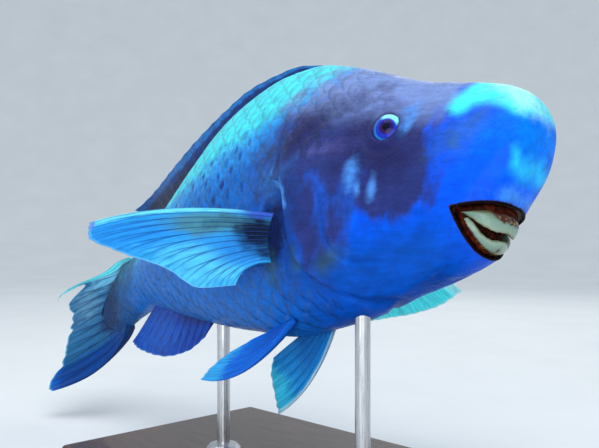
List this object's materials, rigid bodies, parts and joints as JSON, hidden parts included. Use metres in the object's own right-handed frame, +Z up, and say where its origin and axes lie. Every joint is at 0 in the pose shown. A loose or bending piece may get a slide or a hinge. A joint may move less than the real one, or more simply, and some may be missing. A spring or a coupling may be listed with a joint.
{
  "type": "parrotfish model",
  "caption": "Life-size still model of a large male blue parrotfish in a swimming pose, mouth a little open, fins spread, held on a flat display base by short rods.",
  "frame": {"origin": "middle of the whole model's underside, on the surface that the stand's base rests on", "axes": "+X towards the fish's head, +Y towards the fish's left, +Z up"},
  "size_m": [0.779, 0.3434, 0.3828],
  "materials": {
    "skin": "wet scaly skin, blue with a dusky purple mask",
    "fin": "thin rayed membrane, cyan to deep blue",
    "eye": "clear wet cornea over a blue ringed iris",
    "beak": "polished cream tooth plates",
    "gum": "dark red wet gum",
    "stand_base": "dark satin lacquer",
    "stand_rod": "brushed"
  },
  "bodies": {
    "root": {"head": "skin", "torso": "skin", "tail_stem": "skin", "eye_left": "eye", "eye_right": "eye", "gum_upper": "gum", "gum_lower": "gum", "beak_upper": "beak", "beak_lower": "beak", "dorsal_fin": "fin", "anal_fin": "fin", "caudal_fin": "fin", "pectoral_fin_left": "fin", "pectoral_fin_right": "fin", "pelvic_fin_left": "fin", "pelvic_fin_right": "fin", "stand_base": "stand_base", "stand_rod_front": "stand_rod", "stand_rod_rear": "stand_rod"}
  },
  "joints": []
}
